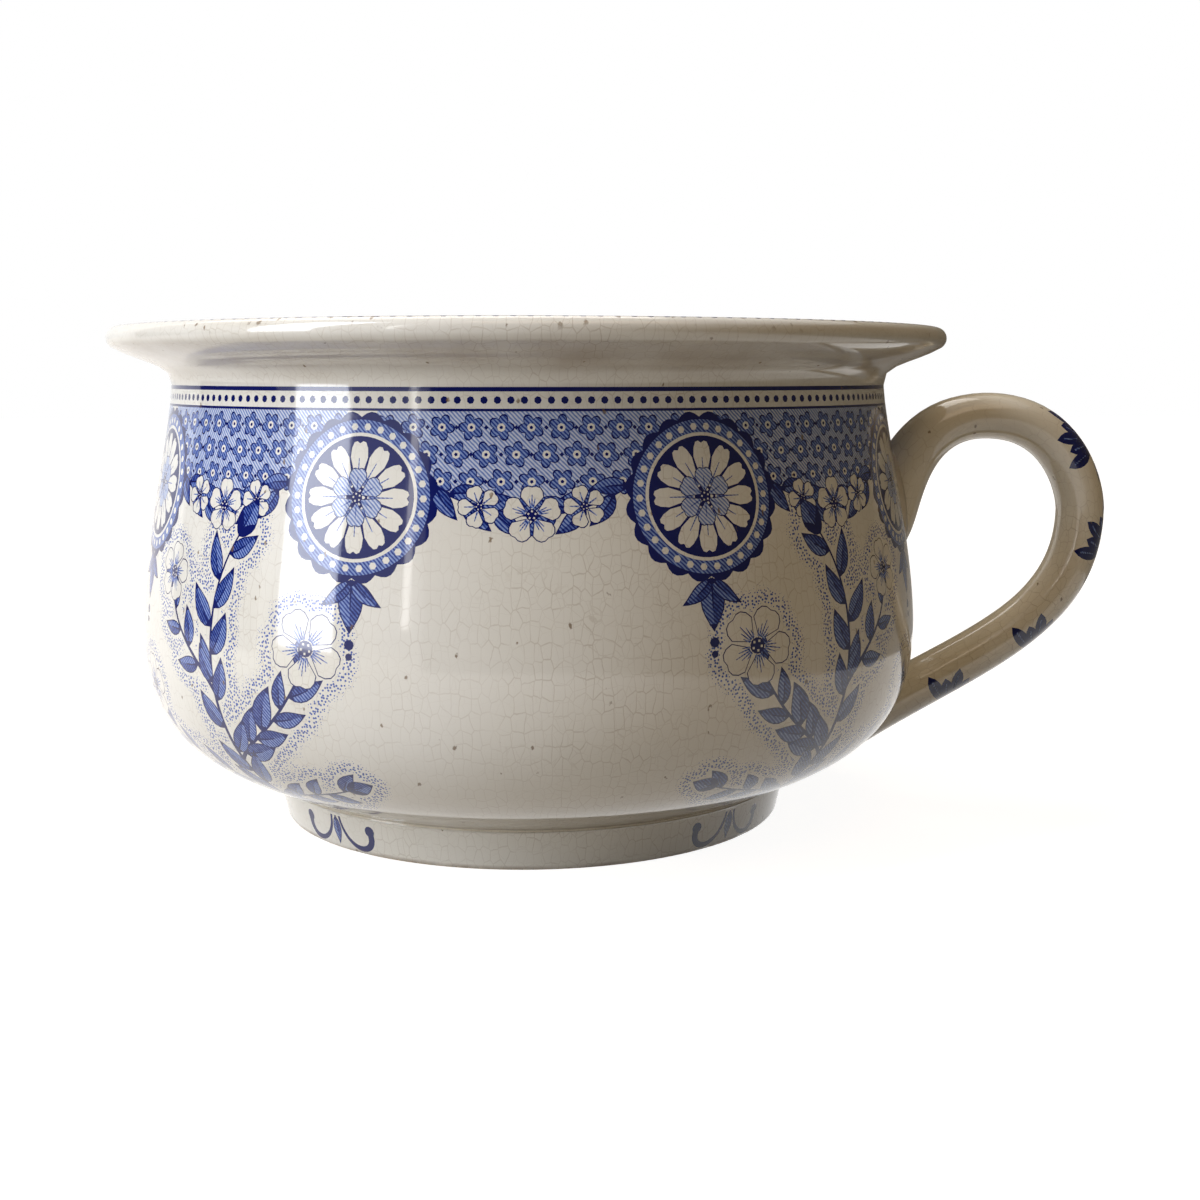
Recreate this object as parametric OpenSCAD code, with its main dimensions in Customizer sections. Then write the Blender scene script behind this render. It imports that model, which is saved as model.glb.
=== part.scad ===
// Chamber pot: a round-bellied bowl with a flared rim, a luted foot ring and a loop handle.
// Millimetres. The pot's axis is Z, the foot rests on z = 0 and the handle stands out along +X.

/* [Bowl] */
// Radius of the rim's outermost edge
rim_r = 117.5; // [105:0.5:130]
// Height of the lip's top above the surface the pot stands on
pot_h = 138; // [120:1:160]
// Radius of the belly at its widest
belly_r = 110.8; // [100:0.2:120]
// Height of the belly's widest place
belly_z = 53.5; // [45:0.5:62]
// Radius of the neck at its narrowest
neck_r = 100.8; // [92:0.2:105]
// How far the neck lies below the lip's top
neck_drop = 14.2; // [11:0.2:20]
// Angle at which the rim flares out, up from level
flare_angle = 30; // [15:1:45]
// Radius of the rounded lip
lip_r = 2.9; // [2.2:0.1:3.5]
// Thickness of the wall at the belly and the neck
wall_t = 4.8; // [3.5:0.1:6]
// Thickness of the wall where it meets the base
base_t = 6.2; // [5:0.1:8]
// Thickness of the base at its middle
floor_t = 5; // [4:0.1:7]

/* [Foot] */
// Radius of the foot ring's outer face at its top
foot_r = 74.8; // [66:0.2:80]
// Height of the bowl's flat underside above the surface the pot stands on
foot_h = 11.5; // [9:0.5:14]
// How much narrower the foot ring is at its bottom
foot_taper = 2; // [0:0.1:4]
// Width of the ground ring that the pot stands on
foot_land = 5; // [4:0.5:8]
// Radius of the hollow curve where the foot ring meets the belly
foot_fillet = 1; // [0.7:0.1:2]

/* [Handle] */
// How far the middle of the grip stands out from the belly
handle_reach = 52.6; // [46:0.2:60]
// Height of the middle of the handle's crest
crest_z = 113.4; // [106:0.2:118]
// Height of the middle of the grip
grip_z = 85.3; // [80:0.2:90]
// Height of the handle's upper end
upper_root_z = 81; // [76:0.5:84]
// Height of the handle's lower end
lower_root_z = 20.5; // [18:0.5:26]
// Thickness of the handle, seen from the side
handle_t = 13.4; // [11:0.1:15]
// Width of the handle, seen from the end
handle_w = 17; // [14:0.5:20]

/* [Joints] */
// Thickness of the slip that holds the handle and the foot
slip_t = 0.6; // [0.4:0.1:1]
// How far the slip stands out round the handle's ends
slip_bead = 1.3; // [0.5:0.1:2]

/* [Hidden] */
$fn = 160;
curve_steps = 14;
lip_steps = 12;
handle_steps = 18;
ring_points = 28;

neck_z = pot_h - neck_drop;
lip_centre = [rim_r - lip_r, pot_h - lip_r];
flare_end = lip_centre + lip_r * [sin(flare_angle), -cos(flare_angle)];
base_r = foot_r + foot_fillet;
base_angle = 28;
base_run = 13.5;
foot_rounding = 0.8;

// A point of a cubic curve through its first and last points.
function bezier(p, t) =
    pow(1 - t, 3) * p[0] + 3 * pow(1 - t, 2) * t * p[1] + 3 * (1 - t) * t * t * p[2] + pow(t, 3) * p[3];

function bezier_points(p, steps, first = 0) = [for (i = [first:steps]) bezier(p, i / steps)];

function arc(centre, r, from, to, steps) =
    [for (i = [0:steps]) let (a = from + (to - from) * i / steps) centre + r * [cos(a), sin(a)]];

// Direction of a row of points at one of them, and the direction to its right.
function along(points, i) =
    let (step = points[min(i + 1, len(points) - 1)] - points[max(i - 1, 0)]) step / norm(step);

function right_of(points, i) = let (d = along(points, i)) [d[1], -d[0]];

// The outside of the bowl from its base to the rolled lip, as radius and height.
belly_start = [base_r, foot_h];
belly_rise = base_run * [cos(base_angle), sin(base_angle)];
belly_curve = [belly_start, belly_start + belly_rise, [belly_r, 0.41 * belly_z], [belly_r, belly_z]];
shoulder_curve = [
    [belly_r, belly_z], [belly_r, 1.44 * belly_z],
    [neck_r, neck_z - 0.16 * (neck_z - belly_z)], [neck_r, neck_z]
];
flare_run = 0.46 * (rim_r - neck_r) * [cos(flare_angle), sin(flare_angle)];
flare_curve = [[neck_r, neck_z], [neck_r, neck_z + 0.3 * neck_drop], flare_end - flare_run, flare_end];

outside = concat(
    bezier_points(belly_curve, curve_steps),
    bezier_points(shoulder_curve, curve_steps, 1),
    bezier_points(flare_curve, curve_steps, 1)
);
outside_end = len(outside) - 1;

function wall_at(z) =
    lookup(z, [[foot_h, base_t], [belly_z, wall_t], [neck_z, wall_t], [flare_end[1], 2 * lip_r]]);

inside = [for (i = [0:outside_end - 1]) outside[i] - wall_at(outside[i][1]) * right_of(outside, i)];

// The inside rounds into the floor a little above the base.
floor_join = 2;
floor_edge = inside[floor_join];
floor_z = foot_h + floor_t;
floor_slope = along(inside, floor_join);
floor_turn = floor_edge - floor_slope * (floor_edge[1] - floor_z) / floor_slope[1];
floor_curve = [floor_edge, floor_turn, [0.55 * floor_turn[0], floor_z], [0, floor_z]];

function radius_at(z) = lookup(z, [for (p = outside) [p[1], p[0]]]);

// A solid of the bowl's outside, grown by the given thickness.
module bowl_block(grow = 0) {
    skin = [for (i = [0:outside_end]) outside[i] + grow * right_of(outside, i)];
    top = skin[outside_end][1];
    bottom = skin[0][1];
    rotate_extrude() polygon(concat([[0, bottom]], skin, [[0, top]]));
}

module pot_body() {
    lip = arc(lip_centre, lip_r, flare_angle - 90, flare_angle + 90, lip_steps);
    floor = bezier_points(floor_curve, curve_steps, 1);
    wall = [for (i = [outside_end - 1:-1:floor_join]) inside[i]];
    outline = concat([[0, foot_h]], outside, [for (i = [1:lip_steps]) lip[i]], wall, floor);
    color([0.87, 0.84, 0.76]) rotate_extrude() polygon(outline);
}

module foot_ring() {
    top = foot_h - slip_t;
    outer = foot_r - foot_taper;
    inner = outer - foot_land;
    back = arc([foot_r + foot_fillet, top - foot_fillet], foot_fillet, 180, 90, lip_steps);
    outer_edge = arc([outer - foot_rounding, foot_rounding], foot_rounding, -90, -15, lip_steps);
    inner_edge = arc([inner + foot_rounding, foot_rounding], foot_rounding, 225, 270, lip_steps);
    color([0.86, 0.82, 0.73])
        rotate_extrude() polygon(concat(outer_edge, back, [[inner - foot_h / 2, top]], inner_edge));
}

module foot_slip() {
    inner = foot_r - foot_taper - foot_land - foot_h / 2 + slip_bead;
    outer = foot_r + foot_fillet - slip_t;
    color([0.74, 0.68, 0.57])
        translate([0, 0, foot_h - slip_t])
        difference() {
            cylinder(h = slip_t, r = outer);
            translate([0, 0, -slip_t]) cylinder(h = 3 * slip_t, r = inner);
        }
}

// The handle's middle line, as distance from the axis and height: root, crest, grip, root.
grip = [belly_r + handle_reach, grip_z];
crest = [belly_r + 0.445 * handle_reach, crest_z];
upper_root = [radius_at(upper_root_z) - wall_t, upper_root_z];
lower_root = [radius_at(lower_root_z), lower_root_z];
upper_rise = 7 * [cos(48), sin(48)];
lower_run = 0.61 * (grip[0] - lower_root[0]) * [cos(32), sin(32)];
crest_back = 0.49 * handle_reach;
crest_front = 0.44 * handle_reach;
rise_curve = [upper_root, upper_root + upper_rise, crest - [crest_back, 0], crest];
turn_curve = [crest, crest + [crest_front, 0], grip + [0, 0.25 * (crest_z - grip_z)], grip];
return_curve = [grip, grip - [0, 0.53 * (grip_z - lower_root_z)], lower_root + lower_run, lower_root];
middle_line = concat(
    bezier_points(rise_curve, handle_steps),
    bezier_points(turn_curve, handle_steps, 1),
    bezier_points(return_curve, handle_steps, 1)
);
handle_end = len(middle_line) - 1;
toe_length = 0.4 * handle_t;

// The handle grows thicker and wider towards its two ends.
function swell(i) = lookup(i / handle_end, [[0, 1.32], [0.3, 1], [0.8, 1], [1, 1.1]]);

// An oval ring round a point of the middle line; shrink makes it smaller about that point.
function oval(c, i, shrink, grow) =
    let (
        n = right_of(middle_line, i),
        thick = (handle_t / 2 * swell(i) + grow) * shrink,
        wide = (handle_w / 2 * swell(i) + grow) * shrink
    )
    [for (k = [0:ring_points - 1])
        let (a = 360 * k / ring_points, across = thick * cos(a))
        [c[0] + across * n[0], wide * sin(a), c[1] + across * n[1]]];

// The lower end closes as a rounded toe.
function toe(a, grow) =
    let (c = middle_line[handle_end] + (toe_length + grow) * sin(a) * along(middle_line, handle_end))
    oval(c, handle_end, cos(a), grow);

module handle_bar(grow = 0) {
    rings = concat(
        [for (i = [0:handle_end]) oval(middle_line[i], i, 1, grow)],
        [for (a = [18:18:72]) toe(a, grow)]
    );
    last = len(rings) - 1;
    first_cap = [for (k = [ring_points - 1:-1:0]) k];
    last_cap = [for (k = [0:ring_points - 1]) last * ring_points + k];
    sides = [for (i = [0:last - 1], k = [0:ring_points - 1])
        let (here = i * ring_points, next = here + ring_points, k2 = (k + 1) % ring_points)
        [here + k, here + k2, next + k2, next + k]];
    polyhedron([for (r = rings) each r], concat([first_cap], sides, [last_cap]), convexity = 4);
}

module handle() {
    color([0.87, 0.84, 0.76])
        difference() {
            handle_bar();
            bowl_block(slip_t);
        }
}

// The slip round one end of the handle, between two heights.
module handle_slip(from, to) {
    color([0.80, 0.75, 0.65])
        intersection() {
            difference() {
                bowl_block(slip_t);
                bowl_block();
            }
            handle_bar(slip_bead);
            translate([0, -handle_w, from]) cube([2 * belly_r, 2 * handle_w, to - from]);
        }
}

module upper_handle_slip() {
    handle_slip(belly_z, neck_z);
}

module lower_handle_slip() {
    handle_slip(foot_h, belly_z);
}

pot_body();
foot_ring();
foot_slip();
handle();
upper_handle_slip();
lower_handle_slip();
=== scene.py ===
import cmath
import math
import random

import bmesh
import bpy
import numpy as np
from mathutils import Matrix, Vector
from mathutils.geometry import delaunay_2d_cdt
from mathutils.kdtree import KDTree

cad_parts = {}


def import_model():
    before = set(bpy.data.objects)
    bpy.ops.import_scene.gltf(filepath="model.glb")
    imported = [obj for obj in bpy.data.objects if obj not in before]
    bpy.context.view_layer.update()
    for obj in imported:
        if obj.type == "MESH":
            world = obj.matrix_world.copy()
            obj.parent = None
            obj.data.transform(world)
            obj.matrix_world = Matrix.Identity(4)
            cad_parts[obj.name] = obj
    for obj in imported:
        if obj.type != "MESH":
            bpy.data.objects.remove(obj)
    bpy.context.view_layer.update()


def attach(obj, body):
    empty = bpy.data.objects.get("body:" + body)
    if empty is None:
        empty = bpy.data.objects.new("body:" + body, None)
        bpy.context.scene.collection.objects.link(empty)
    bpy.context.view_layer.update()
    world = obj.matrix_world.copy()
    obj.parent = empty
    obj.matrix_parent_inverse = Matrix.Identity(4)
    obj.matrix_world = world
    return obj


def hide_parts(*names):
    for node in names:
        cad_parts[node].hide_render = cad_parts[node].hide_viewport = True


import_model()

# Sizes in millimetres, as the solids have them; meshes are scaled to metres when they are made.
MM = 0.001
RIM_R, POT_H, LIP_R = 117.5, 138.0, 2.9
BELLY_R, BELLY_Z = 110.8, 53.5
NECK_R, NECK_DROP = 100.8, 14.2
FLARE = math.radians(30)
WALL_T, BASE_T, FLOOR_T = 4.8, 6.2, 5.0
# How far above the floor the inside starts to round into it.
FLOOR_BEND = 4.8
FOOT_R, FOOT_H, FOOT_TAPER, FOOT_LAND, FOOT_FILLET = 74.8, 11.5, 2.0, 5.0, 1.0
FOOT_ROUNDING = 0.8
SLIP_T, SLIP_BEAD = 0.6, 1.3
HANDLE_REACH, CREST_Z, GRIP_Z = 52.6, 113.4, 85.3
UPPER_ROOT_Z, LOWER_ROOT_Z = 81.0, 20.5
HANDLE_T, HANDLE_W = 13.4, 17.0

NECK_Z = POT_H - NECK_DROP
BASE_R = FOOT_R + FOOT_FILLET
BASE_ANGLE, BASE_RUN = math.radians(28), 13.5
UPPER_ANGLE, UPPER_RISE = math.radians(48), 7.0
LOWER_ANGLE = math.radians(32)
TURN = 2 * math.pi
# Points closer together than this are taken as one.
TOUCH = 1e-3
# Steps in a short curve, a short arc, the lip or the underside, the handle's line and the bowl's section.
CURVE_STEPS, ARC_STEPS, LIP_STEPS, HANDLE_STEPS, SECTION_STEPS = 10, 40, 200, 300, 400

# How much cobalt each kind of mark carries.
DARK, DEEP, MID, PALE, BARE, GROUND = 1.0, 0.74, 0.56, 0.3, 0.03, 0.0
# The thickness of an engraved outline.
LINE = 0.3


# Curves. A point is a complex number: across + up * 1j.

def bezier(a, b, c, d, steps=CURVE_STEPS):
    t = np.linspace(0, 1, steps + 1)
    return (1 - t) ** 3 * a + 3 * (1 - t) ** 2 * t * b + 3 * (1 - t) * t**2 * c + t**3 * d


def arc(centre, radius, start, end, steps=ARC_STEPS):
    return centre + radius * np.exp(1j * np.radians(np.linspace(start, end, steps + 1)))


def joined(*lines):
    """One line of several that meet end to start."""
    return np.concatenate([lines[0]] + [line[1:] for line in lines[1:]])


def lengths(line):
    """The distance along a line to each of its points."""
    return np.concatenate([[0], np.cumsum(abs(np.diff(line)))])


def along(line):
    """The direction of a line at each of its points."""
    step = np.gradient(line)
    return step / abs(step)


def outside_line(steps=SECTION_STEPS):
    """The bowl's outside from its base to the lip, as radius + height * 1j."""
    base = BASE_R + FOOT_H * 1j
    belly = BELLY_R + BELLY_Z * 1j
    neck = NECK_R + NECK_Z * 1j
    flare_dir = cmath.exp(1j * FLARE)
    lip = RIM_R - LIP_R + (POT_H - LIP_R) * 1j
    end = lip - 1j * flare_dir * LIP_R
    rise = NECK_Z - BELLY_Z
    return joined(
        bezier(base, base + cmath.rect(BASE_RUN, BASE_ANGLE), BELLY_R + 0.41j * BELLY_Z, belly, steps),
        bezier(belly, BELLY_R + 1.44j * BELLY_Z, neck - 0.16j * rise, neck, steps),
        bezier(neck, neck + 0.3j * NECK_DROP, end - 0.46 * (RIM_R - NECK_R) * flare_dir, end, steps),
    )


def bowl_line():
    """The whole section of the bowl, from the axis under the base to the axis on the floor."""
    outer = outside_line()
    z = outer.imag
    flare_z = z[-1]
    wall = np.interp(z, [FOOT_H, BELLY_Z, NECK_Z, flare_z], [BASE_T, WALL_T, WALL_T, 2 * LIP_R])
    inner = outer + 1j * along(outer) * wall
    lip = RIM_R - LIP_R + (POT_H - LIP_R) * 1j
    tilt = math.degrees(FLARE)
    roll = arc(lip, LIP_R, tilt - 90, tilt + 90, LIP_STEPS)
    floor_z = FOOT_H + FLOOR_T
    edge = int(np.argmax(inner.imag > floor_z + FLOOR_BEND))
    down = -along(inner)[edge]
    turn = inner[edge] + down * (floor_z - inner[edge].imag) / down.imag
    floor = bezier(inner[edge], turn, 0.55 * turn.real + 1j * floor_z, 1j * floor_z, SECTION_STEPS)
    under = np.linspace(0, BASE_R, LIP_STEPS) + 1j * FOOT_H
    return joined(under, outer, roll, inner[edge:][::-1], floor)


BOWL = bowl_line()
BOWL_Y = lengths(BOWL) - BASE_R
OUTSIDE = outside_line()


def wall_radius(z):
    """The radius of the bowl's outside at a height."""
    return np.interp(z, OUTSIDE.imag, OUTSIDE.real)


def y_at_height(z):
    """Distance up the bowl's outside, from its base, to a height."""
    return float(np.interp(z, OUTSIDE.imag, lengths(OUTSIDE)))


def at_distance(line, ys, y):
    """Values of a line at distances along it; ys are the distances of its own points."""
    return np.interp(y, ys, line.real) + 1j * np.interp(y, ys, line.imag)


def turned(line, ys):
    """A surface of revolution: place(a, y) gives its points.

    They are given by a share of a turn and a distance along the line.
    """
    def place(a, y):
        p = at_distance(line, ys, y)
        return np.stack([p.real * np.cos(TURN * a), p.real * np.sin(TURN * a), p.imag], axis=1)
    return place


# The handle's bar.

def handle_line(steps=HANDLE_STEPS):
    """The middle line of the handle: root, crest, grip, root."""
    grip = BELLY_R + HANDLE_REACH + 1j * GRIP_Z
    crest = BELLY_R + 0.445 * HANDLE_REACH + 1j * CREST_Z
    upper = wall_radius(UPPER_ROOT_Z) - WALL_T + 1j * UPPER_ROOT_Z
    lower = wall_radius(LOWER_ROOT_Z) + 1j * LOWER_ROOT_Z
    rise = UPPER_RISE * cmath.exp(1j * UPPER_ANGLE)
    run = 0.61 * (grip.real - lower.real) * cmath.exp(1j * LOWER_ANGLE)
    return joined(
        bezier(upper, upper + rise, crest - 0.49 * HANDLE_REACH, crest, steps),
        bezier(crest, crest + 0.44 * HANDLE_REACH, grip + 0.25j * (CREST_Z - GRIP_Z), grip, steps),
        bezier(grip, grip - 0.53j * (GRIP_Z - LOWER_ROOT_Z), lower + run, lower, steps),
    )


HANDLE = handle_line()
HANDLE_Y = lengths(HANDLE)
HANDLE_END = HANDLE_Y[-1]
TOE = 0.4 * HANDLE_T


def swell(y):
    """How much larger the bar's section is towards its ends."""
    share = np.interp(y, HANDLE_Y, np.linspace(0, 1, len(HANDLE_Y)))
    return np.interp(share, [0, 0.3, 0.8, 1], [1.32, 1, 1, 1.1])


def bar(a, y):
    """Points of the handle's bar, by a share of a turn from its inner side and a distance along it."""
    body = np.clip(y, 0, HANDLE_END)
    centre = at_distance(HANDLE, HANDLE_Y, body)
    ahead = at_distance(along(HANDLE), HANDLE_Y, body)
    past = np.clip((y - HANDLE_END) / TOE, 0, 1)
    shrink = np.sqrt(1 - past**2) * swell(body)
    p = centre + ahead * past * TOE - 1j * ahead * HANDLE_T / 2 * shrink * np.cos(TURN * a)
    across = HANDLE_W / 2 * shrink * np.sin(TURN * a)
    return np.stack([p.real, across, p.imag], axis=1)


def sunk(points, depth):
    """Keeps what lies under the bowl's skin within a depth of it, so that nothing shows inside the bowl."""
    out = np.hypot(points[:, 0], points[:, 1])
    least = wall_radius(points[:, 2]) - depth
    grow = np.maximum(least / np.maximum(out, 1e-6), 1)
    return points * np.stack([grow, grow, np.ones_like(grow)], axis=1)


def handle_surface(a, y):
    return sunk(bar(a, y), depth=1.0)


# The foot ring and the slip under it.

def foot_line():
    """The foot ring's section as a closed line, from its outer bottom edge up and round."""
    top = FOOT_H - SLIP_T
    outer = FOOT_R - FOOT_TAPER
    inner = outer - FOOT_LAND
    outer_edge = arc(outer - FOOT_ROUNDING + 1j * FOOT_ROUNDING, FOOT_ROUNDING, -90, -15)
    back = arc(FOOT_R + FOOT_FILLET + 1j * (top - FOOT_FILLET), FOOT_FILLET, 180, 90)
    inner_edge = arc(inner + FOOT_ROUNDING + 1j * FOOT_ROUNDING, FOOT_ROUNDING, 225, 270)
    return np.concatenate([outer_edge, back, [inner - FOOT_H / 2 + 1j * top], inner_edge, outer_edge[:1]])


def foot_slip_line():
    """A bead of slip with a slightly hollow face, between the foot ring and the bowl."""
    low, high = FOOT_H - SLIP_T, FOOT_H
    inner = FOOT_R - FOOT_TAPER - FOOT_LAND - FOOT_H / 2 + SLIP_BEAD
    outer = BASE_R - SLIP_T / 3
    dip = outer - SLIP_T / 3
    face = bezier(outer + 1j * low, dip + 1j * low, dip + 1j * high, outer + 1j * high)
    return np.concatenate([face, [inner + 1j * high, inner + 1j * low], face[:1]])


# Marks of the print. A motif is a list of (ink, outline) in the order it is laid down.

def moved(motif, at=0, turn=0.0):
    """The motif turned about the origin and then shifted."""
    spin = cmath.exp(1j * turn)
    return [(ink, at + spin * line) for ink, line in motif]


def mirrored(motif):
    """The motif turned over left to right."""
    return [(ink, -line.conj()) for ink, line in motif]


def stroke(line, start, end, ink=DARK):
    """A line with a thickness at its start and at its end."""
    side = 1j * along(line)
    half = np.linspace(start, end, len(line)) / 2
    return ink, np.concatenate([line + side * half, (line - side * half)[::-1]])


def disc(at, radius, ink=DARK, corners=8):
    return ink, at + radius * np.exp(1j * TURN * np.arange(corners) / corners)


def ring(radius, ink, corners=48, lobes=0, depth=0.0):
    """A round outline, drawn in between its lobes by a share of its radius."""
    phi = TURN * np.arange(corners) / corners
    return ink, radius * (1 - depth + depth * abs(np.sin(lobes * phi / 2))) * np.exp(1j * phi)


def blade(length, width, curl=0.0, ink=DARK, points=7):
    """A plain pointed leaf from the origin along +x."""
    t = np.linspace(0, 1, points)
    rib = length * (t + 1j * curl * t**2)
    half = width / 2 * np.sin(math.pi * t**0.8)
    side = 1j * along(rib) * half
    return ink, np.concatenate([rib + side, (rib - side)[::-1][1:-1]])


def leaf(length, width, curl=0.15):
    """A leaf from the origin along +x: dark outline, one half shaded and one lit, with a rib."""
    t = np.linspace(0, 1, 8)
    rib = length * (t + 1j * curl * t**2)
    half = width / 2 * np.sin(math.pi * t**0.8)
    inner = (half - LINE)[1:-1]
    spine = rib[1:-1]
    side = 1j * along(rib)[1:-1] * inner
    shaded = np.concatenate([spine + side, spine[::-1]])
    lit = np.concatenate([spine - side, spine[::-1]])
    return [blade(length, width, curl, points=8), (DEEP, shaded), (MID, lit), stroke(rib[:6:2], 0.6, 0.25)]


def petal(radius, spread, ink, rays):
    """A notched petal from the origin along +x, shaded by rays from its heart."""
    t = np.linspace(-1, 1, 9)
    reach = radius * (1 - 0.3 * abs(t) ** 2.5 - 0.08 * np.exp(-((t / 0.25) ** 2)))
    outline = np.concatenate([[0.12 * radius], reach * np.exp(1j * t * spread)])
    middle = 0.6 * radius
    motif = [(DARK, outline), (ink, middle + (outline - middle) * (1 - 2.2 * LINE / radius))]
    for k in np.arange(rays) - (rays - 1) / 2:
        ray = np.array([0.22, 0.66 - 0.12 * abs(k)]) * radius * np.exp(0.3j * k * spread)
        motif.append(stroke(ray, 0.45, 0.2, MID))
    return motif


def blossom(radius, petals=5, ink=BARE, rays=3):
    """An open flower with a dotted heart."""
    motif = []
    for k in range(petals):
        motif += moved(petal(radius, 0.95 * math.pi / petals, ink, rays), turn=TURN * k / petals)
    motif.append(disc(0, 0.2 * radius, DARK, 10))
    motif += [disc(0.12 * radius * cmath.exp(1j * TURN * k / 5), 0.04 * radius, BARE, 4) for k in range(5)]
    return motif


def bud(length):
    """A closed bud from the origin along +x, in a pair of sepals."""
    sepal = [blade(0.6 * length, 0.22 * length)]
    return leaf(length, 0.62 * length, 0) + moved(sepal, turn=0.5) + moved(sepal, turn=-0.5)


def roundel(radius):
    """A daisy in a beaded, scalloped frame."""
    motif = [ring(radius, DARK, 100, 20, 0.07), ring(0.9 * radius, MID)]
    beads = 30
    for k in range(beads):
        motif.append(disc(0.82 * radius * cmath.exp(1j * TURN * k / beads), 0.045 * radius, BARE, 6))
    motif += [ring(0.75 * radius, BARE), ring(0.71 * radius, DARK)]
    motif += blossom(0.69 * radius, 12, rays=1)
    return motif + moved(blossom(0.36 * radius, 6, PALE, 1), turn=math.pi / 6)


def stem(line, leaves, size, thick=1.2):
    """A stem with leaves on alternate sides, no two of them quite alike."""
    rng = random.Random(leaves * 100 + round(size * 10))
    motif = [stroke(line, thick, 0.5)]
    ahead = along(line)
    for k, share in enumerate(np.linspace(0.14, 0.96, leaves)):
        i = int(share * (len(line) - 1))
        side = 1 if k % 2 else -1
        length = size * (1.12 - 0.3 * share) * rng.uniform(0.85, 1.1)
        shape = leaf(length, rng.uniform(0.4, 0.5) * length, -0.22 * side)
        motif += moved(shape, line[i], cmath.phase(ahead[i]) + side * rng.uniform(0.6, 0.95))
    return motif


def tendril(size, turn):
    """A tendril that rolls up, from the origin."""
    t = np.linspace(0, 1, 14)
    line = size * (1 - np.exp(1j * (turn + 4.6 * t)) * (1 - 0.72 * t) / cmath.exp(1j * turn))
    return stroke(line * cmath.exp(1j * turn), 1.0, 0.5)


def spray():
    """A wild-rose spray rising from the origin."""
    main = bezier(0, 16 + 28j, -14 + 60j, 7 + 90j, 40)
    low_left = bezier(main[8], main[8] - 9 + 8j, -30 + 26j, -37 + 44j, 20)
    low_right = bezier(main[7], main[7] + 8 + 5j, 24 + 22j, 35 + 27j, 20)
    right = bezier(main[15], main[15] + 8 + 9j, 22 + 44j, 30 + 62j, 20)
    left = bezier(main[23], main[23] - 6 + 8j, -19 + 64j, -21 + 77j, 18)
    motif = stem(low_left, 8, 11.5) + stem(low_right, 6, 11) + stem(right, 8, 12) + stem(left, 6, 10.5)
    motif += stem(main, 13, 13.5, 1.7)
    motif += moved(blossom(9.0, rays=5), low_left[-1] + 3j, 0.3)
    motif += moved(blossom(10.0, rays=5), right[-1] + 3j, 0.8)
    motif += moved(blossom(8.0, rays=5), left[-1] + 2j, 0.1)
    motif += moved(bud(11), main[-1], cmath.phase(along(main)[-1]))
    motif += moved(bud(9), low_right[-1], cmath.phase(along(low_right)[-1]))
    return motif + [tendril(3.4, 0.3), tendril(3.0, 2.6)]


def hanging(x, width, sag):
    """A line that hangs from two points at y = 0."""
    return x - 1j * sag * (1 - (2 * x / width) ** 2)


def garland(width, sag):
    """Leaves and blossoms on a hanging line, centred on x = 0 with its ends at y = 0."""
    motif = [stroke(hanging(np.linspace(-width / 2, width / 2, 21), width, sag), 0.9, 0.9)]
    for side in (1, -1):
        for k in range(6):
            x = side * width / 2 * (0.6 - 0.09 * k)
            ahead = cmath.phase(hanging(x - side * 0.1, width, sag) - hanging(x, width, sag))
            lean = 0.6 if k % 2 else -0.6
            motif += moved(leaf(9.5, 4.2, -0.3 * lean), hanging(x, width, sag), ahead + lean)
    for x in (-0.16 * width, 0.16 * width):
        motif += moved(blossom(5.2, rays=1), hanging(x, width, sag), x)
    return motif + moved(blossom(7.0), hanging(0, width, sag), 0.3)


def sown_flower():
    """A small five-lobed flower with a dark edge and a pale heart."""
    lobes = [ring(radius, ink, 30, 5, 0.4) for radius, ink in ((3.2, DARK), (2.8, MID))]
    heart = [disc(0, 1.0, BARE, 7), disc(0, 0.45, DARK, 5)]
    return moved(lobes + heart, turn=0.1)


def drape(width, top, sag):
    """A pale cloth sown with little flowers, between a rail and a hanging line."""
    low = hanging(np.linspace(-width / 2, width / 2, 21), width, sag)
    motif = [(PALE, np.concatenate([low, low[::-1].real + 1j * top]))]
    step = 7.0
    for row in range(int((top + sag) / step) + 1):
        for k in np.arange(-6, 7) + 0.5 * (row % 2):
            at = k * step + 1j * (top - step * (0.88 * row + 0.52))
            if abs(at.real) < width / 2 - 1 and at.imag > hanging(at.real, width, sag).imag + 1.5:
                motif += moved(sown_flower(), at, 0.7 * k + row)
                motif.append(disc(at + 0.5 * step, 0.55, DARK, 4))
    return motif


def drop(length):
    """A bell-flower hanging from the origin."""
    motif = moved(leaf(length, 0.5 * length, 0), turn=-math.pi / 2)
    for side in (-1, 1):
        motif += moved(leaf(0.75 * length, 0.3 * length, 0.3 * side), turn=-math.pi / 2 + 0.6 * side)
    return motif + [disc(-1.2j * length, 0.1 * length), disc(-1.42j * length, 0.07 * length)]


def rail(width, y, thick, ink=DARK):
    """A level line round the whole of a band; y is its upper edge."""
    x = np.linspace(0, width, 97)
    return ink, np.concatenate([x + 1j * (y - thick), (x + 1j * y)[::-1]])


def clipped(line, edge, keep):
    """The part of an outline on one side of an upright edge."""
    kept = []
    for a, b in zip(line, np.roll(line, -1)):
        if keep * (a.real - edge) >= 0:
            kept.append(a)
        if (a.real - edge) * (b.real - edge) < 0:
            t = (edge - a.real) / (b.real - a.real)
            kept.append(complex(edge, a.imag + t * (b.imag - a.imag)))
    return np.array(kept)


def anticlockwise(line):
    area = (line.conj() * np.roll(line, -1)).imag.sum()
    return line if area > 0 else line[::-1]


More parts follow.
